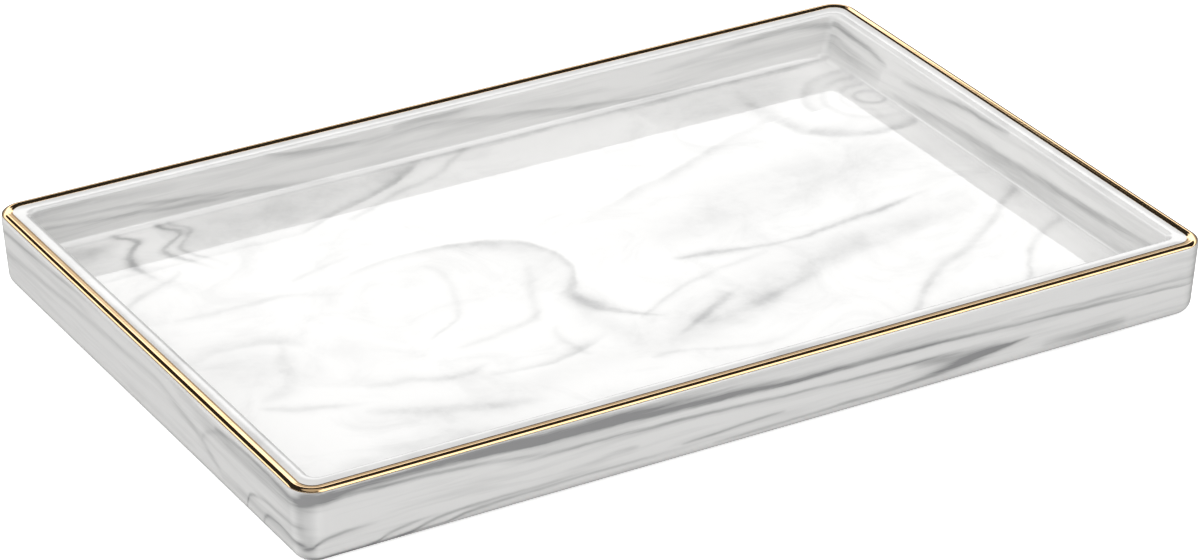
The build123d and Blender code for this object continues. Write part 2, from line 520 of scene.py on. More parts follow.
# What the veins' curves cover, as (low, high): millimetres along, across or out, or degrees of turn
LONG = (-150.0, 150.0)
SHORT = (-100.0, 100.0)
TURN = (-180.0, 180.0)
WALL = (-6.0, 30.0)
ROUND = (0.0, 60.0)
WALL_SPREAD = (1.4, 0.55)
FLOOR_SPREAD = (1.5, 1.2)
LEAST_WIDTH = 0.001  # so that a vein's width never divides by nothing

# How far the noise carries the veins off their lines, in millimetres: drift on a broad
# scale and shake on a fine one, on the floor and in the height of the walls' veins
FLOOR_DRIFT = 4.0
FLOOR_SHAKE = 2.6
WALL_DRIFT = 1.6
WALL_SHAKE = 0.7

# How grey things run, from none to full
STREAKS = (-0.05, 0.18)
THREADS = (0.72, 1.25)  # as a factor on a wall's veins
PATCHES = (0.4, 0.85)  # as a factor on the floor's veins
SMOKE = (0.0, 0.2)
RIM_SMOKE = (0.03, 0.17)
# painted shade: how much darker the outer walls are painted round their upright corners
CORNER_PAINTED_SHADE = 0.35
OUTER_LONG_GAIN = 1.1
OUTER_SHORT_GAIN = 0.95
INNER_LONG_GAIN = 0.65
INNER_SHORT_GAIN = 0.95

THREAD_STRETCH = 0.05  # how much the noise along a wall is drawn out
STREAK_STRETCH = 0.06
RIM_DEPTH = 4.0  # flat faces less than this below the rim's top have only smoke

# Where a face's normal takes it from one marbling to the next, as parts of the normal
INNER_TO_OUTER = (-0.1, 0.1)
WALL_TO_FLAT = (0.62, 0.94)
SHORT_TO_LONG = (0.45, 0.85)
# from a flat wall to an upright corner, where the painted shade is laid
WALL_TO_SHADED_CORNER = (0.2, 0.65)

# Colours by value, and how rough each surface is
MARBLE_TONES = ((0.0, (0.84, 0.836, 0.826)), (0.5, (0.56, 0.56, 0.555)), (1.0, (0.31, 0.31, 0.313)))
GOLD_TONES = ((0.3, (0.72, 0.47, 0.24)), (0.7, (0.81, 0.57, 0.32)))
RUBBER_TONES = ((0.35, (0.085, 0.085, 0.09)), (0.7, (0.13, 0.13, 0.135)))
FILM_TONES = ((0.3, (0.62, 0.60, 0.53)), (0.7, (0.78, 0.76, 0.70)))
GLAZE_ROUGHNESS = (0.025, 0.07)
GLAZE_IOR = 1.6
PEEL = 0.03  # how high the glaze's orange peel is, beside its broad ripple
GOLD_ROUGHNESS = (0.025, 0.055)
RUBBER_ROUGHNESS = 0.75
FILM_ROUGHNESS = 0.55

# Veins of the long outer walls. Each has its edge and its points: the distance along
# the wall, the height above the underside, the half width and the strength. The
# veins of the other walls follow.
OUTER_LONG_VEINS = (
    ("crisp_low", ((-150, 21.5, 2, 0.2), (-120, 22.2, 2, 0.55), (-100, 22, 2.8, 0.7),
        (-80, 21.2, 3.4, 0.85), (-60, 20.3, 3.2, 0.9), (-40, 19.2, 3, 0.9), (-20, 18, 2.6, 0.85),
        (0, 17.1, 1.8, 0.85), (40, 16.1, 1.2, 0.75), (80, 14.6, 0.9, 0.45), (120, 12.8, 0.8, 0.4),
        (138, 11.5, 0.7, 0.4), (146, 11, 0.7, 0))),
    ("soft", ((-150, 20.5, 1, 0.2), (-130, 20, 1, 0.5), (-110, 19.2, 1, 0.45), (-94, 18, 1.1, 0.35),
        (-74, 16, 1.2, 0.25), (-60, 15, 1.2, 0))),
    ("soft", ((-90, 15.8, 1, 0), (-70, 15.2, 1, 0.3), (-50, 14.8, 1, 0.5), (-30, 14, 0.9, 0.5),
        (-10, 13.2, 0.8, 0.5), (10, 12.4, 0.8, 0.5), (30, 11.6, 0.9, 0.5), (46, 11, 1, 0.6),
        (56, 10.4, 1.2, 0.4), (64, 10, 1.2, 0))),
    ("soft", ((46, 9.5, 2, 0), (54, 9, 2.4, 0.5), (62, 8.2, 2.8, 0.75), (70, 8, 2.8, 0.85),
        (78, 8.2, 1.6, 0.8), (84, 8.5, 0.8, 0.5), (88, 8.7, 0.6, 0))),
    ("soft", ((-20, 3, 0.8, 0), (-10, 3.3, 0.8, 0.35), (20, 3.8, 0.9, 0.5), (36, 4.2, 1, 0.6),
        (50, 5, 1.4, 0.8), (60, 5.8, 2, 0.9), (68, 6.8, 2, 0.7), (76, 7.8, 1.5, 0.3), (82, 8.2, 1, 0))),
    ("soft", ((80, 16.4, 0.7, 0), (90, 16, 0.7, 0.2), (120, 14.8, 0.7, 0.25), (148, 13, 0.7, 0.22))),
    ("soft", ((-120, 1.5, 0.8, 0.5), (-115, 2.5, 0.8, 0.6), (-110, 4, 0.8, 0.6), (-102, 5.2, 0.8, 0.5),
        (-90, 5.8, 0.8, 0.4), (-70, 5.9, 0.8, 0.25), (-40, 6, 0.8, 0))),
    ("soft", ((-105, 2, 0.8, 0.5), (-102, 2.8, 0.8, 0.6), (-98, 3.8, 0.8, 0.6), (-90, 4.5, 0.8, 0.5),
        (-70, 4.8, 0.8, 0.4), (-40, 4.7, 0.8, 0.3), (-10, 4.5, 0.8, 0))),
    ("soft", ((-130, 1.5, 0.8, 0.3), (-126, 2.5, 0.8, 0.5), (-123, 4, 0.8, 0.5), (-112, 5.5, 0.8, 0.2),
        (-105, 6, 0.8, 0))),
    ("soft", ((-150, 4, 0.9, 0.5), (-146, 5.5, 0.9, 0.6), (-142, 8, 0.9, 0.5), (-135, 8.8, 0.9, 0.35),
        (-125, 9, 0.9, 0))),
    ("soft", ((-30, 5.8, 0.6, 0), (-22, 6, 0.6, 0.4), (-12, 6.7, 0.6, 0.5), (-2, 7.2, 0.6, 0.4),
        (4, 7.4, 0.6, 0))),
    ("soft", ((92, 4.5, 3, 0), (104, 5, 3.5, 0.3), (112, 5, 3.5, 0.35), (122, 5, 3, 0))),
    ("soft", ((-150, 20, 4, 0.5), (-146, 20.5, 3.5, 0.6), (-138, 21, 2.5, 0.3), (-130, 21.5, 2, 0))),
    ("soft", ((-70, 8.4, 1.2, 0), (-60, 8.4, 1.4, 0.2), (-50, 9.2, 1.6, 0.3), (-44, 9.3, 1, 0))),
    ("soft", ((-150, 22.5, 6, 0.35), (-120, 22.5, 5, 0.4), (-80, 22, 5, 0.4), (-40, 20.5, 4.5, 0.35),
        (0, 18, 4, 0.2), (40, 16.5, 4, 0.1), (80, 15, 3, 0.1), (150, 13, 3, 0.1))),
)

OUTER_SHORT_VEINS = (
    ("soft", ((-50, 6, 2.5, 0.3), (-44, 9, 2.8, 0.3), (-36, 12.5, 2.8, 0.28), (-24, 15.5, 2.6, 0.3),
        (-12, 17.2, 2.4, 0.3), (0, 17.2, 2.4, 0.28), (20, 16.5, 2.2, 0.28), (40, 15.5, 2, 0.28),
        (60, 14.2, 2, 0.28), (80, 12.5, 2, 0.3), (100, 11, 2, 0.3))),
    ("soft", ((24, 22.8, 1, 0), (40, 22.2, 1.2, 0.35), (60, 21, 1.3, 0.5), (80, 19.5, 1.3, 0.55),
        (100, 18.2, 1.3, 0.5))),
    ("soft", ((-100, 11.8, 1, 0.3), (-86, 11.5, 1, 0.35), (-74, 10.5, 1, 0.4), (-68, 8.5, 1.1, 0.55),
        (-66, 6, 1.3, 0.55), (-65, 4, 1.6, 0.4), (-64, 2, 1.6, 0))),
    ("soft", ((-100, 5.5, 0.9, 0.6), (-94, 6.8, 0.9, 0.65), (-86, 7.5, 0.9, 0.6), (-80, 7.3, 1, 0.6),
        (-77, 6, 1.3, 0.5), (-75, 3.5, 1.6, 0.4), (-74, 2, 1.6, 0))),
    ("soft", ((-60, 20, 1, 0), (-52, 20, 1.3, 0.2), (-46, 18, 1.6, 0.25), (-41, 15, 2.2, 0.2),
        (-38, 12, 2.4, 0))),
    ("soft", ((-100, 19.5, 2, 0.7), (-92, 20.6, 1.6, 0.6), (-84, 21.3, 1.5, 0.5), (-70, 21.8, 1.4, 0.55),
        (-56, 21.3, 1.4, 0.45), (-48, 20.5, 1.3, 0))),
    ("soft", ((-100, 18, 6, 0.45), (-80, 19, 5, 0.4), (-60, 19, 4.5, 0.3), (-40, 20, 4, 0.25),
        (-20, 21, 3, 0))),
)

INNER_LONG_VEINS = (
    ("soft", ((-145, 18, 1.2, 0.3), (-136, 17.2, 1.2, 0.5), (-120, 16, 1.1, 0.5), (-102, 14.8, 1.1, 0.5),
        (-82, 13.5, 1.2, 0.45), (-62, 12, 1.2, 0.2), (-50, 11.5, 1.2, 0))),
    ("soft", ((-140, 19.8, 1.2, 0.2), (-130, 19, 1.2, 0.45), (-112, 18, 1.2, 0.5), (-92, 16, 1.4, 0.55),
        (-76, 14.5, 1.4, 0.55), (-56, 12.4, 1.4, 0.4), (-40, 11.2, 1.4, 0))),
    ("crisp_high", ((-64, 23.4, 1, 0.3), (-59, 22.5, 1.2, 0.6), (-52, 21.4, 1.4, 0.6),
        (-42, 20.8, 1.5, 0.55), (-22, 19.8, 1.5, 0.45), (2, 18.7, 2, 0.45), (18, 17, 2, 0.5),
        (38, 14.8, 1.8, 0.5), (58, 12.8, 1.6, 0.5), (80, 11.2, 1.4, 0.3), (95, 10.2, 1.2, 0))),
    ("soft", ((-20, 22, 1.5, 0), (-12, 22.2, 2, 0.55), (0, 22, 1.8, 0.6), (8, 22.5, 1.4, 0.3),
        (20, 23, 1, 0))),
    ("soft", ((70, 18.5, 2, 0), (88, 19.5, 2, 0.4), (108, 21.3, 1.8, 0.6), (124, 22.2, 1.8, 0.7),
        (136, 21, 2.2, 0.7), (145, 18, 2.6, 0.6))),
    ("soft", ((-150, 21.5, 2.5, 0.6), (-130, 21.8, 2, 0.5), (-110, 21.5, 1.6, 0.3), (-90, 21, 1.4, 0))),
    ("soft", ((-150, 14, 4, 0.15), (-110, 15, 4, 0.2), (-70, 16, 3.5, 0.15), (-30, 15, 3, 0.05),
        (60, 14, 3, 0.05), (90, 16, 3.5, 0.15), (120, 16, 4, 0.2), (150, 16, 4, 0.2))),
)

INNER_SHORT_VEINS = (
    ("crisp_high", ((-92, 17.8, 2, 0.5), (-78, 17.2, 2.4, 0.55), (-58, 16.5, 2.6, 0.55),
        (-38, 16, 2.6, 0.55), (-18, 15.2, 2.6, 0.55), (2, 14.5, 2.4, 0.5), (22, 14, 2, 0.45),
        (42, 12.5, 1.6, 0.25), (52, 12, 1.4, 0))),
    ("soft", ((-8, 22.6, 1, 0), (4, 22, 1.2, 0.55), (16, 21.5, 1.2, 0.55), (28, 20, 1.2, 0.35),
        (42, 18, 1.2, 0.25), (50, 17, 1.2, 0))),
    ("soft", ((58, 18.5, 1.4, 0), (64, 19.5, 1.5, 0.5), (70, 20.2, 1.4, 0.7), (80, 20.5, 1.4, 0.9),
        (92, 21, 1.5, 0.9), (100, 21.4, 1.6, 0.8))),
    ("soft", ((60, 15, 6, 0), (70, 15, 6, 0.35), (90, 16, 6, 0.5), (100, 16, 6, 0.5))),
    ("soft", ((-92, 13, 4, 0.25), (-40, 12.5, 4, 0.25), (0, 12, 4, 0.2), (40, 12, 3, 0.1),
        (60, 12, 3, 0))),
)

# Veins of the dish floor, by the way they are measured: "x" veins run along X and
# "y" veins along Y. The others run round the centre given, by angle and radius.
FLOOR_VEINS = (
    ((-42, -4), "crisp_high", ((-15, 27, 3.4, 0), (-8, 28.8, 3, 0.4), (-2, 30.4, 2.6, 0.7),
        (7, 33.2, 2.6, 0.7), (16, 35.8, 2.6, 0.7), (31, 39.3, 2.8, 0.7), (44, 40.2, 4, 0.8),
        (55, 38.9, 4.2, 0.85), (72, 38, 3, 0.7), (87, 38.2, 2, 0.5), (100, 38.8, 1.8, 0.35),
        (118, 41.5, 1.8, 0.2), (132, 44, 1.8, 0))),
    ((-42, -4), "crisp_high", ((-10, 22, 8, 0), (10, 27, 9, 0.2), (44, 34, 10, 0.25), (72, 34, 8, 0.15),
        (95, 36, 6, 0))),
    ("y", "soft", ((-37, 1, 1.6, 0), (-33.4, -3, 2.2, 0.5), (-28, -9, 3.6, 0.9), (-23, -12, 5, 1),
        (-16, -14.5, 5.4, 1), (-11, -15.5, 5, 0.8), (-6, -12, 3.6, 0.3), (-1, -9.5, 2.5, 0))),
    ("y", "soft", ((-52, -14, 8, 0), (-42, -14, 10, 0.25), (-32, -16, 9, 0.3), (-22, -16, 7, 0.2),
        (-14, -15, 5, 0))),
    ("x", "soft", ((-6, -34.5, 1.2, 0), (-2, -32.6, 1.3, 0.4), (10, -27, 1.4, 0.38),
        (20, -23, 1.6, 0.35), (30, -20, 1.8, 0.3), (40, -18, 2.2, 0.25), (54, -16, 2.4, 0))),
    ("x", "soft", ((22, -8.4, 1.5, 0), (33, -9.8, 2.6, 0.8), (42, -11.4, 2.4, 0.75),
        (50, -13.2, 1.6, 0.5), (60, -14.4, 1.4, 0.6), (70, -14, 1.6, 0.85), (80, -12.6, 1.8, 1),
        (90, -11, 2, 1), (100, -9.6, 1.8, 0.85), (107, -8, 1.8, 0.4), (116, -6.5, 2, 0))),
    ("x", "soft", ((-2, -50, 2, 0), (6, -46, 2.6, 0.5), (14, -41.5, 3, 0.75), (20, -38, 2.8, 0.75),
        (26, -34.6, 2.2, 0.4), (32, -32, 2, 0))),
    ("x", "soft", ((8, -48, 3, 0), (20, -45.4, 4, 0.4), (32, -43, 4.5, 0.5), (44, -39.5, 4, 0.4),
        (58, -36, 3, 0))),
    ("x", "crisp_low", ((-16, -50, 12, 0), (4, -46, 17, 0.3), (24, -42, 18, 0.42), (44, -33, 15, 0.5),
        (62, -28, 14, 0.55), (84, -24, 13, 0.5), (104, -20, 12, 0.3), (124, -16, 10, 0.1))),
    ("x", "soft", ((60, -78, 3, 0.4), (70, -68, 3.6, 0.55), (80, -58, 3.8, 0.6), (90, -50.5, 3.6, 0.55),
        (100, -46, 3.2, 0.5), (110, -39, 3.2, 0.5), (120, -32, 3.2, 0.5), (128, -25, 3.2, 0.5),
        (138, -18, 3.2, 0.4))),
    ("x", "soft", ((100, -78, 3, 0.3), (108, -69, 3, 0.5), (116, -58, 3, 0.5), (124, -50, 2.8, 0.45),
        (138, -43, 2.6, 0.35))),
    ("x", "crisp_high", ((18, 29, 2.4, 0), (28, 33, 3.6, 0.3), (36, 36.5, 3.8, 0.4),
        (46, 39.3, 3.8, 0.42), (56, 43.4, 3.6, 0.45), (66, 47, 3.8, 0.4), (76, 51, 4, 0.3),
        (90, 56, 4.5, 0.2), (104, 62, 4.5, 0))),
    ("x", "soft", ((0, 8, 14, 0), (30, 10, 22, 0.22), (60, 16, 26, 0.4), (90, 20, 28, 0.4),
        (118, 18, 28, 0.3), (130, 14, 28, 0.12), (140, 12, 28, 0.1))),
    ("x", "soft", ((-130, -74, 8, 0.2), (-90, -70, 9, 0.4), (-60, -76, 8, 0.3), (0, -78, 8, 0.25),
        (60, -76, 8, 0.3), (110, -74, 8, 0.35), (135, -74, 8, 0.2))),
    ((134, 58), "crisp_high", ((-160, 33, 6, 0.6), (-150, 29.5, 6, 0.65), (-137, 27.6, 5.5, 0.65),
        (-119, 25, 4.5, 0.6), (-95, 22, 4, 0.55), (-70, 20.5, 3.5, 0.4))),
    ((134, 58), "soft", ((140, 44, 5, 0), (158, 39, 5.5, 0.4), (170, 36.5, 6, 0.55), (180, 35, 6, 0.6))),
    ((134, 58), "soft", ((-180, 15.5, 2.6, 0.35), (-90, 14.5, 2.6, 0.15), (0, 14, 2.6, 0.15),
        (90, 15, 2.6, 0.3), (180, 15.5, 2.6, 0.35))),
    ((134, 58), "soft", ((-180, 9.5, 1.6, 0.3), (-90, 9, 1.6, 0.1), (0, 9, 1.6, 0.1),
        (90, 9.4, 1.6, 0.25), (180, 9.5, 1.6, 0.3))),
    ((134, 58), "soft", ((-180, 4.6, 1.4, 0.45), (-90, 4.2, 1.4, 0.5), (0, 4.2, 1.4, 0.4),
        (90, 4.6, 1.4, 0.35), (180, 4.6, 1.4, 0.45))),
    ((-118, -6), "crisp_low", ((10, 22, 4, 0), (29, 20.4, 5, 0.25), (46, 18.8, 5.6, 0.35),
        (69, 16.8, 5.6, 0.35), (104, 16, 5.6, 0.3), (126, 17, 4.4, 0.2), (145, 20, 4, 0))),
    ((-118, -6), "soft", ((-110, 20, 4, 0), (-93, 18, 4.4, 0.25), (-76, 16.4, 4.8, 0.35),
        (-51, 12.6, 5, 0.35), (-24, 10, 5, 0.35), (10, 11, 4.4, 0.3), (28, 15, 4, 0.2), (40, 19, 3, 0))),
    ((-120, -6), "soft", ((-180, 4, 16, 0.3), (180, 4, 16, 0.3))),
    ("x", "soft", ((-96, -31.5, 3, 0), (-90, -32.6, 4, 0.35), (-82, -34, 4.6, 0.5),
        (-76, -37.2, 4, 0.55), (-70, -40, 3, 0.55), (-64, -40.8, 2.2, 0.5), (-60, -39.2, 1.8, 0.3),
        (-57, -38, 1.6, 0))),
    ("x", "soft", ((-126, -29, 2, 0), (-118, -33, 2.8, 0.42), (-110, -36.2, 2.6, 0.42),
        (-104, -38.4, 2.2, 0.25), (-98, -41, 2.2, 0))),
    ("x", "soft", ((-102, -45, 3, 0), (-93, -49.6, 4.6, 0.38), (-84, -54, 5.4, 0.5),
        (-76, -57.4, 5.4, 0.55), (-68, -60, 4.6, 0.5), (-60, -62, 4, 0.25), (-50, -65, 4, 0))),
    ("x", "soft", ((-112, -48, 8, 0), (-94, -54, 13, 0.2), (-76, -59, 14, 0.28), (-58, -58, 13, 0.22),
        (-36, -52, 12, 0.15), (-12, -52, 12, 0.18), (8, -58, 10, 0.1), (24, -64, 8, 0))),
    ("x", "crisp_low", ((-60, -44.2, 1.6, 0), (-53, -45.2, 1.8, 0.38), (-46, -45.6, 2, 0.42),
        (-38, -45, 2.4, 0.48), (-31, -42.4, 2.8, 0.5), (-25, -39.8, 2.6, 0.35), (-18, -37, 2, 0))),
    ("y", "soft", ((-47, -30, 1.6, 0), (-40, -31, 2.2, 0.35), (-32, -32, 2.4, 0.32), (-26, -29, 2, 0))),
    ("x", "soft", ((-60, -24.6, 1.6, 0), (-54, -24, 2.2, 0.3), (-46, -22.2, 2.4, 0.35),
        (-38, -20.8, 2.6, 0.38), (-32, -18.6, 2.4, 0.3), (-28, -16, 2, 0))),
    ("y", "soft", ((-22, -33, 2, 0), (-17, -31, 2.6, 0.32), (-10, -28, 3, 0.35), (-2, -24, 3.2, 0.32),
        (6, -20, 3, 0.25), (14, -17, 2.4, 0))),
    ("y", "soft", ((-16, -64, 1.6, 0), (-13, -59, 1.8, 0.3), (-9, -53, 2, 0.32), (-4, -49, 2, 0.3),
        (4, -46, 2.2, 0.28), (12, -43.2, 2.4, 0.28), (20, -42, 2.2, 0.22), (26, -44, 1.8, 0))),
    ("x", "soft", ((-124, 31.5, 1.4, 0), (-114, 31, 1.8, 0.22), (-100, 30.4, 2, 0.28),
        (-88, 29.6, 1.8, 0.2), (-78, 25, 1.8, 0.12), (-70, 22, 1.6, 0))),
    ("x", "soft", ((-138, 41, 2, 0.3), (-131, 46.6, 2.2, 0.42), (-125, 50.6, 2.2, 0.45),
        (-118, 53.4, 2, 0.42), (-112, 55.6, 2, 0.35), (-108, 59, 2, 0))),
    ("x", "soft", ((-84, 37, 1.2, 0), (-76, 38.5, 1.4, 0.25), (-68, 40.5, 1.4, 0.25),
        (-60, 42.5, 1.4, 0))),
    ("y", "soft", ((54, -116, 1.6, 0), (62, -118, 1.8, 0.5), (68, -119.4, 2, 0.95), (74, -118, 2.2, 1),
        (79, -114.4, 2.4, 1), (83.6, -111, 2.6, 1), (88, -115, 2.6, 0.95), (93, -119, 2.6, 0.8))),
    ("y", "soft", ((54, -98, 1.6, 0), (62, -101.5, 1.6, 0.5), (68, -105.6, 1.8, 1), (73, -107.4, 2, 1),
        (78, -103, 2, 1), (82.6, -97.4, 2.2, 1), (88, -101, 2.2, 0.9), (93, -105, 2.2, 0.8))),
    ("y", "soft", ((54, -94, 1.6, 0), (62, -97, 1.6, 0.3), (68, -101, 1.6, 0.6),
        (73.5, -101.8, 1.6, 0.6), (79, -96.8, 1.6, 0.6), (83.4, -93.6, 1.8, 0.55), (88, -97, 1.8, 0.5),
        (93, -100, 1.8, 0.4))),
    ("x", "soft", ((-145, 83, 8, 0.65), (-132, 83, 7.5, 0.65), (-122, 84, 6, 0.4), (-114, 86, 4, 0))),
    ("x", "soft", ((-104, 80, 16, 0), (-92, 78, 18, 0.5), (-70, 78, 18, 0.55), (-44, 82, 14, 0.5),
        (-22, 86, 9, 0.3), (-6, 88, 6, 0))),
    ("x", "crisp_low", ((-66, 64, 2, 0.2), (-58, 68, 2.2, 0.45), (-50, 71.6, 2.4, 0.55),
        (-40, 75, 2.8, 0.6), (-28, 79, 3.2, 0.7), (-20, 84, 3.4, 0.6), (-12, 90, 3.4, 0.4))),
    ("x", "soft", ((-50, 64, 1.6, 0), (-42, 67, 1.8, 0.35), (-28, 73, 2, 0.4), (-12, 78, 2.4, 0.45),
        (-2, 85, 2.6, 0.4), (6, 92, 2.6, 0.2))),
    ("x", "soft", ((64, 80, 14, 0), (84, 78, 16, 0.42), (104, 78, 18, 0.45), (118, 78, 14, 0.25),
        (128, 78, 10, 0))),
    ("x", "soft", ((-16, -57, 1.6, 0), (-10, -57.4, 1.8, 0.3), (-2, -60, 1.8, 0.3), (8, -64, 2, 0.3),
        (20, -66.4, 2.4, 0.25), (30, -63, 2.6, 0.15), (40, -56, 2.6, 0))),
)


class Marble:
    """What the marbling reads at each place: where it is, which way it faces and its noise."""

    def __init__(self, sheet):
        self.place = in_millimetres(sheet)
        self.at = sheet.add("ShaderNodeSeparateXYZ", {0: self.place}).outputs
        facing = sheet.add("ShaderNodeTexCoord").outputs["Normal"]
        self.normal = sheet.add("ShaderNodeSeparateXYZ", {0: facing}).outputs
        self.broad = self.wander(sheet, scale=0.03, detail=1.0, roughness=0.5)
        self.fine = self.wander(sheet, scale=0.12, detail=5.0, roughness=0.62)
        drift = self.shift(sheet, self.broad, FLOOR_DRIFT)
        shake = self.shift(sheet, self.fine, FLOOR_SHAKE)
        both = sheet.add("ShaderNodeVectorMath", {0: drift, 1: shake}, operation="ADD").outputs[0]
        moved = sheet.add("ShaderNodeVectorMath", {0: self.place, 1: both}, operation="ADD")
        self.wavy = moved.outputs[0]

        self.sign_x = sheet.math("SIGN", self.at[0])
        self.sign_y = sheet.math("SIGN", self.at[1])
        out_x = sheet.math("MULTIPLY", self.normal[0], self.sign_x)
        out_y = sheet.math("MULTIPLY", self.normal[1], self.sign_y)
        self.outer = sheet.remap(sheet.math("ADD", out_x, out_y), *INNER_TO_OUTER)
        self.steep = sheet.remap(sheet.math("ABSOLUTE", self.normal[2]), *WALL_TO_FLAT, 1.0, 0.0)

    def wander(self, sheet, scale, detail, roughness):
        """Noise that has a value and a direction."""
        inputs = {"Vector": self.place, "Scale": scale, "Detail": detail, "Roughness": roughness}
        return sheet.add("ShaderNodeTexNoise", inputs).outputs

    def shift(self, sheet, noise, distance):
        """The noise's direction, as a shift of up to half the distance each way."""
        middle = (0.5, 0.5, 0.5)
        way = sheet.add("ShaderNodeVectorMath", {0: noise["Color"], 1: middle}, operation="SUBTRACT")
        inputs = {0: way.outputs[0], "Scale": distance}
        return sheet.add("ShaderNodeVectorMath", inputs, operation="SCALE").outputs[0]


def one_wall(sheet, veins, gain, along, reach, height, which):
    """Greyness of a wall: its veins, broken into threads, and faint streaks between them."""
    total = 0.0
    for edge, points in veins:
        total = vein(sheet, total, along, height, reach, WALL, points, edge, WALL_SPREAD)
    finely = sheet.point(sheet.math("MULTIPLY", along, THREAD_STRETCH), height, which)
    thread = sheet.noise(finely, scale=0.9, detail=3.0, roughness=0.6, distortion=0.6)
    threads = sheet.remap(thread, 0.3, 0.7, THREADS[0] * gain, THREADS[1] * gain)
    coarsely = sheet.point(sheet.math("MULTIPLY", along, STREAK_STRETCH), height, which)
    grain = sheet.noise(coarsely, scale=0.3, detail=3.0, roughness=0.55, distortion=0.4)
    streaks = sheet.remap(grain, 0.35, 0.75, *STREAKS)
    return sheet.math("ADD", sheet.math("MULTIPLY", total, threads), streaks)


def wall_marbling(sheet, marble):
    """Greyness of all walls, and painted shade down the outer corners. Facing walls have one pattern,
    turned half round from each other.
    """
    drift = sheet.math("MULTIPLY", sheet.math("SUBTRACT", marble.broad["Fac"], 0.5), WALL_DRIFT)
    shake = sheet.math("MULTIPLY", sheet.math("SUBTRACT", marble.fine["Fac"], 0.5), WALL_SHAKE)
    above_underside = sheet.math("SUBTRACT", marble.at[2], UNDERSIDE)
    height = sheet.math("ADD", above_underside, sheet.math("ADD", drift, shake))

    inner = sheet.math("SUBTRACT", 1.0, marble.outer)
    lengthwise = sheet.remap(sheet.math("ABSOLUTE", marble.normal[1]), *SHORT_TO_LONG)
    crosswise = sheet.math("SUBTRACT", 1.0, lengthwise)
    back_along = sheet.math("MULTIPLY", marble.at[0], marble.sign_y)
    front_along = sheet.math("MULTIPLY", back_along, -1.0)
    right_along = sheet.math("MULTIPLY", marble.at[1], marble.sign_x)
    left_along = sheet.math("MULTIPLY", right_along, -1.0)
    groups = (
        (OUTER_LONG_VEINS, OUTER_LONG_GAIN, front_along, LONG, marble.outer, lengthwise, marble.sign_y),
        (OUTER_SHORT_VEINS, OUTER_SHORT_GAIN, left_along, SHORT, marble.outer, crosswise, marble.sign_x),
        (INNER_LONG_VEINS, INNER_LONG_GAIN, back_along, LONG, inner, lengthwise, marble.sign_y),
        (INNER_SHORT_VEINS, INNER_SHORT_GAIN, right_along, SHORT, inner, crosswise, marble.sign_x),
    )
    walls = 0.0
    for veins, gain, along, reach, side, way, which in groups:
        grey = one_wall(sheet, veins, gain, along, reach, height, which)
        walls = sheet.math("MULTIPLY_ADD", grey, sheet.math("MULTIPLY", side, way), walls)

    # Painted shade: the outer walls are painted darker round each upright corner, standing in for a dark
    # reflection there
    across_x = sheet.math("ABSOLUTE", marble.normal[0])
    across_y = sheet.math("ABSOLUTE", marble.normal[1])
    both = sheet.math("MINIMUM", across_x, across_y)
    painted_corner_shade = sheet.remap(both, *WALL_TO_SHADED_CORNER, 0.0, CORNER_PAINTED_SHADE)
    return sheet.math("ADD", walls, sheet.math("MULTIPLY", painted_corner_shade, marble.outer))


def floor_veins(sheet, x, y):
    """Greyness of the veins of the dish floor, which the underside shares."""
    total = 0.0
    for way, edge, points in FLOOR_VEINS:
        if way == "x":
            total = vein(sheet, total, x, y, LONG, LONG, points, edge, FLOOR_SPREAD)
        elif way == "y":
            total = vein(sheet, total, y, x, SHORT, LONG, points, edge, FLOOR_SPREAD)
        else:
            from_x = sheet.math("SUBTRACT", x, float(way[0]))
            from_y = sheet.math("SUBTRACT", y, float(way[1]))
            angle = sheet.math("DEGREES", sheet.math("ARCTAN2", from_y, from_x))
            offset = sheet.point(from_x, from_y, 0.0)
            out = sheet.add("ShaderNodeVectorMath", {0: offset}, operation="LENGTH").outputs["Value"]
            total = vein(sheet, total, angle, out, TURN, ROUND, points, edge, FLOOR_SPREAD)
    return total


def flat_marbling(sheet, marble):
    """Greyness of the flat faces: veins and smoke, but only smoke on top of the rim."""
    shifted = sheet.add("ShaderNodeSeparateXYZ", {0: marble.wavy}).outputs
    upward = sheet.math("SIGN", marble.normal[2])
    x = sheet.math("MULTIPLY", shifted[0], upward)
    y = sheet.math("MULTIPLY", shifted[1], upward)
    blotches = sheet.noise(marble.wavy, scale=0.07, detail=4.0, roughness=0.6)
    veins = sheet.math("MULTIPLY", floor_veins(sheet, x, y), sheet.remap(blotches, 0.3, 0.7, *PATCHES))
    rim = sheet.math("GREATER_THAN", marble.at[2], RIM_TOP - RIM_DEPTH)
    veins = sheet.math("MULTIPLY", veins, sheet.math("SUBTRACT", 1.0, rim))
    haze = sheet.noise(marble.wavy, scale=0.05, detail=3.0, roughness=0.6)
    rim_smoke = sheet.remap(haze, 0.35, 0.7, *RIM_SMOKE)
    grey = sheet.math("MULTIPLY_ADD", rim, rim_smoke, veins)
    cloud = sheet.noise(marble.wavy, scale=0.03, detail=4.0, roughness=0.6, distortion=1.5)
    return sheet.math("ADD", grey, sheet.remap(cloud, 0.45, 0.8, *SMOKE))


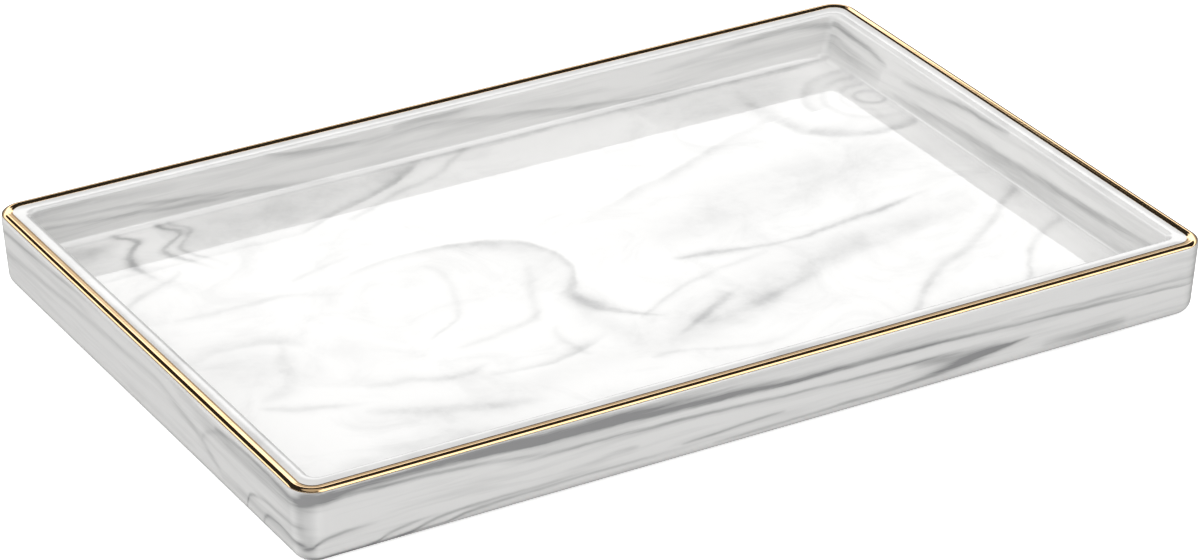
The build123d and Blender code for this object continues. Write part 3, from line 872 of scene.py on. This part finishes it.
def marbled_glaze():
    """Marbled porcelain under a clear gloss glaze with faint orange peel, with painted shade down the
    outer corners of the walls.
    """
    material, sheet, shader = new_material("marbled_glaze")
    marble = Marble(sheet)
    walls = sheet.math("MULTIPLY", wall_marbling(sheet, marble), marble.steep)
    flat = sheet.math("SUBTRACT", 1.0, marble.steep)
    grey = sheet.math("MULTIPLY_ADD", flat_marbling(sheet, marble), flat, walls, clamp=True)
    colour(sheet, shader, grey, MARBLE_TONES)
    ripple = sheet.noise(marble.place, scale=0.09, detail=2.0)
    peel = sheet.noise(marble.place, scale=0.9, detail=1.0)
    relief = sheet.math("MULTIPLY_ADD", peel, PEEL, ripple)
    emboss(sheet, shader, relief, strength=1.0, distance=0.03)
    smears = sheet.noise(marble.place, scale=0.05, detail=3.0)
    roughness = sheet.remap(smears, 0.4, 0.8, *GLAZE_ROUGHNESS)
    sheet.tree.links.new(roughness, shader.inputs["Roughness"])
    shader.inputs["IOR"].default_value = GLAZE_IOR
    return material


def gold_lustre():
    """Fired gold: bright and slightly uneven, with a faintly rippled surface."""
    material, sheet, shader = new_material("gold_lustre")
    place = in_millimetres(sheet)
    colour(sheet, shader, sheet.noise(place, scale=0.12, detail=3.0), GOLD_TONES)
    emboss(sheet, shader, sheet.noise(place, scale=1.5, detail=2.0), strength=0.6, distance=0.008)
    wear = sheet.noise(place, scale=0.8, detail=3.0)
    roughness = sheet.remap(wear, 0.3, 0.7, *GOLD_ROUGHNESS)
    sheet.tree.links.new(roughness, shader.inputs["Roughness"])
    shader.inputs["Metallic"].default_value = 1.0
    return material


def pad_rubber():
    """Matte moulded rubber with a fine grain."""
    material, sheet, shader = new_material("pad_rubber")
    place = in_millimetres(sheet)
    colour(sheet, shader, sheet.noise(place, scale=0.7, detail=4.0, roughness=0.6), RUBBER_TONES)
    grain = sheet.noise(place, scale=5.0, detail=3.0, roughness=0.6)
    emboss(sheet, shader, grain, strength=0.7, distance=0.08)
    shader.inputs["Roughness"].default_value = RUBBER_ROUGHNESS
    return material


def adhesive_film():
    """Thin cream film with faint fibres."""
    material, sheet, shader = new_material("adhesive_film")
    place = in_millimetres(sheet)
    fibres = sheet.noise(place, scale=2.2, detail=4.0, roughness=0.7, distortion=1.2)
    colour(sheet, shader, fibres, FILM_TONES)
    shader.inputs["Roughness"].default_value = FILM_ROUGHNESS
    return material


# ---------------------------------------------------------------- studio

FLOOR_HALF = 3.0  # metres
STAGE_GLOW = 0.75
STAGE_WHITE = 0.8
STAGE_MIRRORED = 0.32  # how white the floor is in reflections

# How bright the surround is in reflections, by degrees above the horizon
RING_LOW = -10.0
RING_HIGH = 90.0
RING_MOST = 4.0  # the brightest level that the ring's curve can hold
RING_LEVELS = (
    (-10, 0.8), (-4, 0.8), (-3, 0.06), (8, 0.06), (12, 0.5), (19, 0.55), (22.5, 0.95), (24.5, 2.4),
    (29.8, 2.4), (31.8, 0.03), (66, 0.03), (70, 0.6), (90, 0.6))

# Softbox at the front right: its level, and where each edge fades, in degrees
SOFTBOX = 2.3
SOFTBOX_START = (104, 112)  # of heading, from the back round by the right
SOFTBOX_END = (166, 174)
SOFTBOX_FOOT = (8, 16)  # above the horizon
SOFTBOX_HEAD = (68, 74)

# Soft light on matte faces
SKY_HORIZON = 0.35
SKY_ZENITH = 1.32
SKY_TO_FRONT = 0.24
SKY_TO_LEFT = 0.4

CAMERA_AZIMUTH = math.radians(-30.136)
CAMERA_ELEVATION = math.radians(27.405)
CAMERA_DISTANCE = 1.50889  # metres, as the clipping distances are
CAMERA_TARGET = Vector((1.889, 1.485, 5.110)) * MM
CAMERA_LENS = 151.94
SENSOR_WIDTH = 36.0
CLIP_START = 0.01
CLIP_END = 20.0


def stage_floor():
    """A pale floor. It glows a little to the camera only, and is dimmer in reflections."""
    mesh = bpy.data.meshes.new("stage_floor")
    signs = ((-1, -1), (1, -1), (1, 1), (-1, 1))
    corners = [(sign_x * FLOOR_HALF, sign_y * FLOOR_HALF, 0.0) for sign_x, sign_y in signs]
    mesh.from_pydata(corners, [], [(0, 1, 2, 3)])
    floor = bpy.data.objects.new("stage_floor", mesh)
    bpy.context.scene.collection.objects.link(floor)
    material, sheet, shader = new_material("stage_white")
    shader.inputs["Roughness"].default_value = 1.0
    shader.inputs["Specular IOR Level"].default_value = 0.0
    shader.inputs["Emission Color"].default_value = (1, 1, 1, 1)
    path = sheet.add("ShaderNodeLightPath").outputs
    glow = sheet.math("MULTIPLY", path["Is Camera Ray"], STAGE_GLOW)
    sheet.tree.links.new(glow, shader.inputs["Emission Strength"])
    tone = sheet.math("MULTIPLY_ADD", path["Is Glossy Ray"], STAGE_MIRRORED - STAGE_WHITE, STAGE_WHITE)
    sheet.tree.links.new(tone, shader.inputs["Base Color"])
    mesh.materials.append(material)


def mirrored_ring(sheet, degrees):
    """Rings of light and dark round the tray, by degrees above the horizon."""
    share = sheet.remap(degrees, RING_LOW, RING_HIGH, smooth=False)
    curve = sheet.add("ShaderNodeFloatCurve", {"Value": share})
    mapping = curve.mapping
    mapping.extend = "HORIZONTAL"
    span = RING_HIGH - RING_LOW
    set_curve(mapping.curves[0], [((d - RING_LOW) / span, level / RING_MOST) for d, level in RING_LEVELS])
    for place in mapping.curves[0].points:
        place.handle_type = "VECTOR"
    mapping.update()
    return sheet.math("MULTIPLY", curve.outputs[0], RING_MOST)


def softbox(sheet, way, degrees):
    """How much of the softbox is seen in a direction, from 0 to 1."""
    heading = sheet.math("DEGREES", sheet.math("ARCTAN2", way[0], way[1]))
    start = sheet.remap(heading, *SOFTBOX_START)
    end = sheet.remap(heading, *SOFTBOX_END, 1.0, 0.0)
    foot = sheet.remap(degrees, *SOFTBOX_FOOT)
    head = sheet.remap(degrees, *SOFTBOX_HEAD, 1.0, 0.0)
    return sheet.math("MULTIPLY", sheet.math("MULTIPLY", start, end), sheet.math("MULTIPLY", foot, head))


def studio_world():
    """White to the camera, rings and a softbox in reflections, and a soft sky on matte faces."""
    world = bpy.data.worlds.new("studio")
    world.use_nodes = True
    bpy.context.scene.world = world
    world.node_tree.nodes.clear()
    sheet = Sheet(world.node_tree)
    direction = sheet.add("ShaderNodeTexCoord").outputs["Generated"]
    way = sheet.add("ShaderNodeSeparateXYZ", {0: direction}).outputs
    degrees = sheet.math("DEGREES", sheet.math("ARCSINE", way[2]))
    ring_light = mirrored_ring(sheet, degrees)
    mirrored = sheet.math("MULTIPLY_ADD", softbox(sheet, way, degrees), SOFTBOX, ring_light)

    overhead = sheet.remap(way[2], 0.0, 1.0, SKY_HORIZON, SKY_ZENITH, smooth=False)
    to_front = sheet.math("MULTIPLY_ADD", way[1], -SKY_TO_FRONT, overhead)
    sky_light = sheet.math("MULTIPLY_ADD", way[0], -SKY_TO_LEFT, to_front)

    white = (1, 1, 1, 1)
    backdrop = sheet.add("ShaderNodeBackground", {"Color": white, "Strength": 1.0}).outputs[0]
    glossy = sheet.add("ShaderNodeBackground", {"Color": white, "Strength": mirrored}).outputs[0]
    soft = sheet.add("ShaderNodeBackground", {"Color": white, "Strength": sky_light}).outputs[0]
    path = sheet.add("ShaderNodeLightPath").outputs
    lit = sheet.add("ShaderNodeMixShader", {0: path["Is Glossy Ray"], 1: soft, 2: glossy}).outputs[0]
    seen = sheet.add("ShaderNodeMixShader", {0: path["Is Camera Ray"], 1: lit, 2: backdrop}).outputs[0]
    sheet.add("ShaderNodeOutputWorld", {"Surface": seen})


def photo_camera():
    """The camera of the reference view."""
    data = bpy.data.cameras.new("camera")
    data.lens = CAMERA_LENS
    data.sensor_width = SENSOR_WIDTH
    data.sensor_fit = "HORIZONTAL"
    data.clip_start = CLIP_START
    data.clip_end = CLIP_END
    camera = bpy.data.objects.new("camera", data)
    bpy.context.scene.collection.objects.link(camera)
    level = math.cos(CAMERA_ELEVATION)
    back = Vector((
        level * math.sin(CAMERA_AZIMUTH),
        -level * math.cos(CAMERA_AZIMUTH),
        math.sin(CAMERA_ELEVATION)))
    camera.location = CAMERA_TARGET + back * CAMERA_DISTANCE
    camera.rotation_mode = "QUATERNION"
    camera.rotation_quaternion = (-back).to_track_quat("-Z", "Y")
    bpy.context.scene.camera = camera


# ---------------------------------------------------------------- assembly

glaze = marbled_glaze()
body = tray_body()
body.data.materials.append(glaze)
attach(body, "root")
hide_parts("tray_body")

bead = gold_bead()
bead.data.materials.append(gold_lustre())
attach(bead, "root")
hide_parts("gold_rim_band")

rubber = pad_rubber()
film = adhesive_film()
for corner in ("front_left", "front_right", "back_left", "back_right"):
    for stem, material in (("foot_pad", rubber), ("pad_adhesive", film)):
        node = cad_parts[f"{stem}_{corner}"]
        node.data.materials.clear()
        node.data.materials.append(material)

stage_floor()
studio_world()
photo_camera()
bpy.context.scene.view_settings.view_transform = "Standard"
